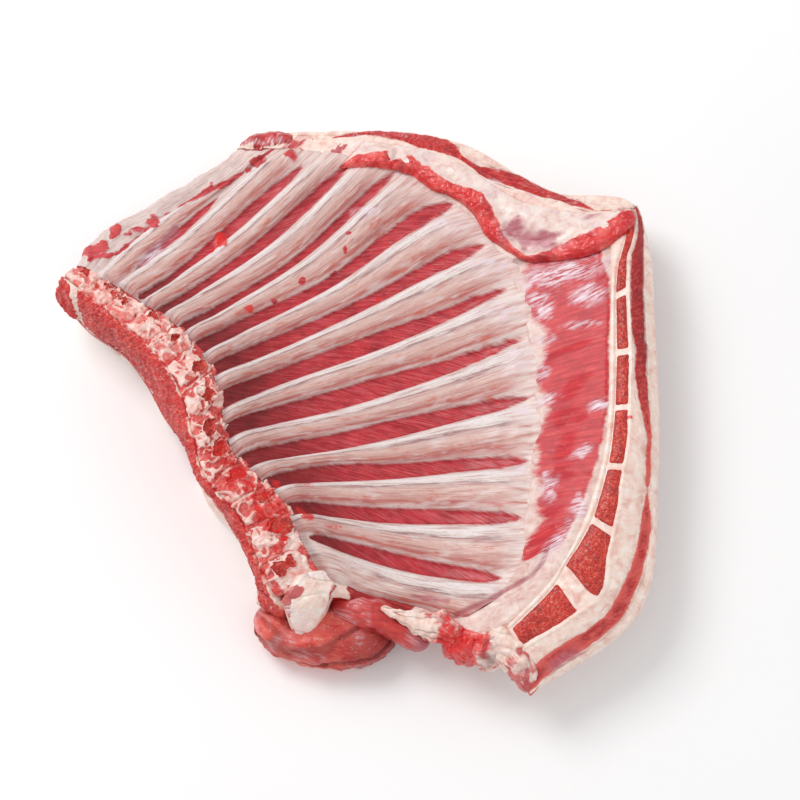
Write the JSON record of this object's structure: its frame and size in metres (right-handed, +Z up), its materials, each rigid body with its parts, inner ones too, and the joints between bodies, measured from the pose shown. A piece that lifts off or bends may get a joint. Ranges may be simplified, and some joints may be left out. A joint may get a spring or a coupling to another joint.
{
  "type": "raw rack of lamb",
  "caption": "Raw side of lamb ribs with the breast on, lying on its skin side with the hollow of the chest facing up.",
  "frame": {"origin": "middle of the foot of the box round the whole part, on the surface it lies on", "axes": "+Z up out of the hollow of the chest; +X from the split spine to the breastbone; +Y from the neck end to the flank"},
  "size_m": [0.412, 0.4152, 0.0765],
  "materials": {
    "fat": "cream raw fat, soft and moist",
    "red_muscle": "raw red muscle, moist",
    "dark_muscle": "dark raw muscle under a thin clear membrane",
    "lining": "coral red muscle sheet with a silvery sheen",
    "cartilage": "white gristle, smooth and moist",
    "rib_bone": "rib under a pale pink membrane, moist",
    "marrow": "sawn spongy bone, red and porous"
  },
  "bodies": {
    "root": {"fat_cover": "fat", "brisket_fat": "fat", "flank_fat": "fat", "neck_fat": "fat", "neck_trim": "fat", "breast_tip_fat": "fat", "loin_muscle": "red_muscle", "breast_muscle": "red_muscle", "diaphragm": "red_muscle", "neck_muscle": "red_muscle", "breast_tip_muscle": "red_muscle", "chest_wall": "dark_muscle", "flank_lobe": "dark_muscle", "neck_wedge_muscle": "dark_muscle", "neck_roll": "dark_muscle", "breast_lining": "lining", "spine_cartilage": "cartilage", "sternum_cartilage": "cartilage", "rib_01": "rib_bone", "rib_02": "rib_bone", "rib_03": "rib_bone", "rib_04": "rib_bone", "rib_05": "rib_bone", "rib_06": "rib_bone", "rib_07": "rib_bone", "rib_08": "rib_bone", "rib_09": "rib_bone", "rib_10": "rib_bone", "rib_11": "rib_bone", "rib_12": "rib_bone", "rib_13": "rib_bone", "vertebra_01": "marrow", "vertebra_02": "marrow", "vertebra_03": "marrow", "vertebra_04": "marrow", "vertebra_05": "marrow", "vertebra_06": "marrow", "vertebra_07": "marrow", "vertebra_08": "marrow", "vertebra_09": "marrow", "vertebra_10": "marrow", "vertebra_11": "marrow", "vertebra_12": "marrow", "vertebra_13": "marrow", "sternebra_1": "marrow", "sternebra_2": "marrow", "sternebra_3": "marrow", "sternebra_4": "marrow", "sternebra_5": "marrow", "sternebra_6": "marrow", "sternebra_7": "marrow"}
  },
  "joints": []
}
